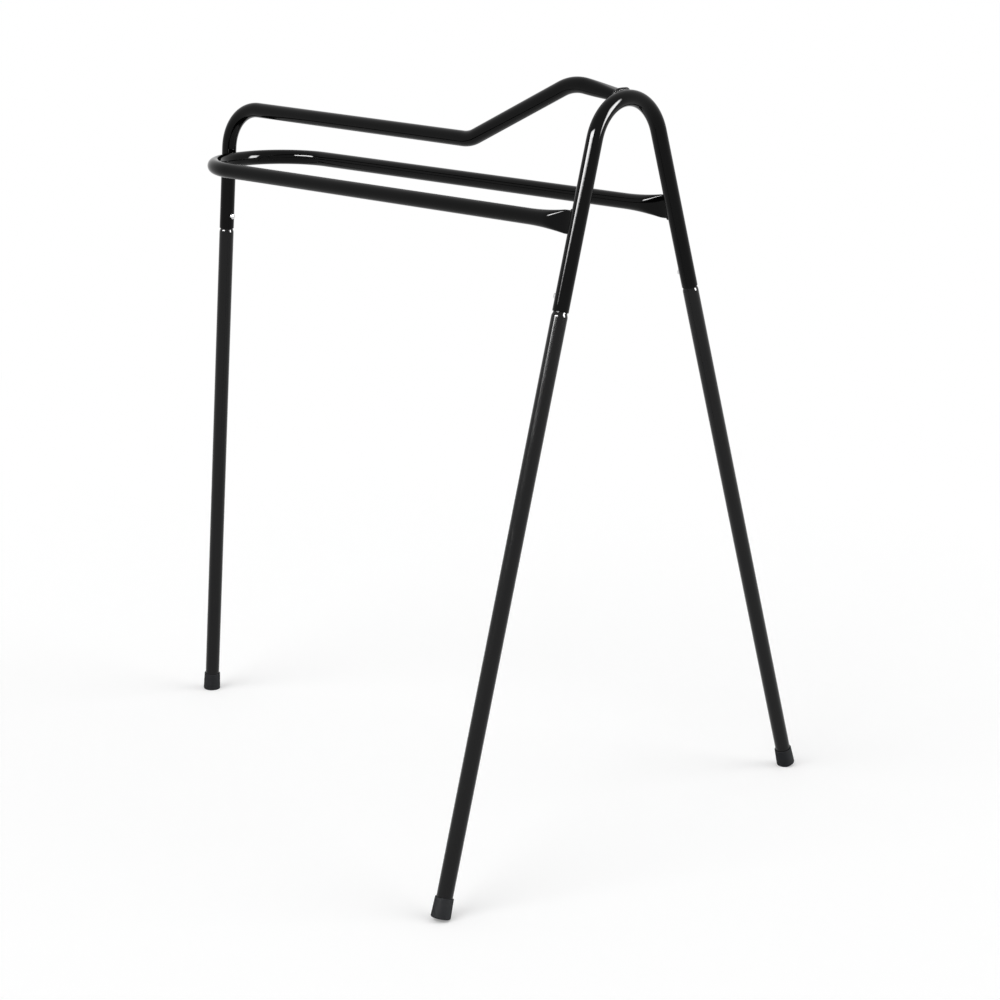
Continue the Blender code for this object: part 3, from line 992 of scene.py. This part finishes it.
def only_in_reflections(item):
    """Hides a thing from all rays but those mirrored by the object or passed through it."""
    item.visible_camera = False
    item.visible_diffuse = False
    item.visible_shadow = False
    item.visible_volume_scatter = False


def make_floor():
    """White paper: it takes the object's shadow, and away from it turns into plain white."""
    made, tree, output = stage_material("floor_paper")
    seen = seen_directly(tree)
    paper = tree.nodes.new("ShaderNodeBsdfDiffuse")
    paper.inputs["Color"].default_value = (FLOOR_ALBEDO, FLOOR_ALBEDO, FLOOR_ALBEDO, 1)
    near = tree.nodes.new("ShaderNodeAddShader")
    tree.links.new(paper.outputs[0], near.inputs[0])
    tree.links.new(emission(tree, math_node(tree, "MULTIPLY", seen, FLOOR_LIFT)), near.inputs[1])
    fade = ranged(tree, distance_out(tree), 0, 1, *FLOOR_FADE)
    away = math_node(tree, "MULTIPLY", fade, seen)
    tree.links.new(mixed(tree, away, near.outputs[0], emission(tree, 1)), output.inputs["Surface"])
    stage_card("floor", (FLOOR_SIZE, FLOOR_SIZE), Matrix.Translation((0, 0, -FLOOR_DROP)), made)


def card_offset(angle):
    """How far from a card's middle an angle in degrees reaches."""
    return CARD_DISTANCE * math.tan(math.radians(angle))


def make_softbox(name, centre, tilt, sides, softness, level):
    """A lit card, seen only in reflections and clear outside its lit area. Its angles are in degrees.

    The centre is an azimuth and an elevation, and a tilt lowers the side of more azimuth. The sides
    are the reach towards less and more azimuth, down and up, each with its own softness.
    """
    way = direction(*centre)
    right = Matrix.Rotation(math.radians(tilt), 3, way) @ way.cross(UP).normalized()
    up = right.cross(way)
    place = (Matrix.Translation(CARD_AIM + way * CARD_DISTANCE)
             @ Matrix((right, up, right.cross(up))).transposed().to_4x4())
    made, tree, output = stage_material(name)
    coordinates = tree.nodes.new("ShaderNodeTexCoord")
    parts = tree.nodes.new("ShaderNodeSeparateXYZ")
    tree.links.new(coordinates.outputs["Object"], parts.inputs[0])
    edges = []
    for axis, sense, reach, soft in zip("XXYY", (-1, 1, -1, 1), sides, softness):
        clear_from = sense * card_offset(reach + soft)
        lit_from = sense * card_offset(reach - soft)
        edges.append(faded(tree, parts.outputs[axis], clear_from, lit_from))
    clear = tree.nodes.new("ShaderNodeBsdfTransparent")
    tree.links.new(mixed(tree, product(tree, edges), clear.outputs[0], emission(tree, level)),
                   output.inputs["Surface"])
    size = 2 * card_offset(max(sides) + max(softness))
    only_in_reflections(stage_card(name, (size, size), place, made))


def make_sun(name, azimuth, elevation, level, width):
    """A soft lamp that isn't mirrored. Its level is what it adds to a white floor; angles are degrees."""
    lamp = bpy.data.lights.new(name, "SUN")
    lamp.energy = level * math.pi / math.sin(math.radians(elevation))
    lamp.angle = math.radians(width)
    item = bpy.data.objects.new(name, lamp)
    bpy.context.scene.collection.objects.link(item)
    item.rotation_mode = "QUATERNION"
    item.rotation_quaternion = direction(azimuth, elevation).to_track_quat("Z", "Y")
    item.visible_glossy = False


def make_camera():
    """The photograph's camera."""
    yaw, pitch, roll = CAMERA_YAW, CAMERA_PITCH, CAMERA_ROLL
    forward = direction(math.degrees(yaw), math.degrees(pitch))
    level_right = Vector((math.cos(yaw), -math.sin(yaw), 0))
    level_up = level_right.cross(forward)
    right = level_right * math.cos(roll) + level_up * math.sin(roll)
    up = level_up * math.cos(roll) - level_right * math.sin(roll)
    camera = bpy.data.objects.new("camera", bpy.data.cameras.new("camera"))
    bpy.context.scene.collection.objects.link(camera)
    camera.matrix_world = (Matrix.Translation(CAMERA_PLACE)
                           @ Matrix((right, up, -forward)).transposed().to_4x4())
    camera.data.sensor_width = SENSOR_WIDTH
    camera.data.lens = CAMERA_LENS
    bpy.context.scene.camera = camera


def make_studio():
    """Floor, light and camera."""
    make_world()
    make_floor()
    make_softbox("key_softbox", centre=(-84, 31.5), tilt=12,
                 sides=(18.5, 21, 6.2, 6.8), softness=(1.5, 2.5, 2.6, 2.5), level=110)
    make_softbox("second_softbox", centre=(152, 20), tilt=0,
                 sides=(9.5, 10, 12.8, 15), softness=(3, 3, 2.5, 6), level=85)
    make_sun("key_lamp", azimuth=-85, elevation=50, level=0.25, width=40)
    make_sun("second_lamp", azimuth=148, elevation=45, level=0.15, width=40)
    make_camera()
    bpy.context.scene.view_settings.view_transform = "Standard"


make_rack()
make_studio()
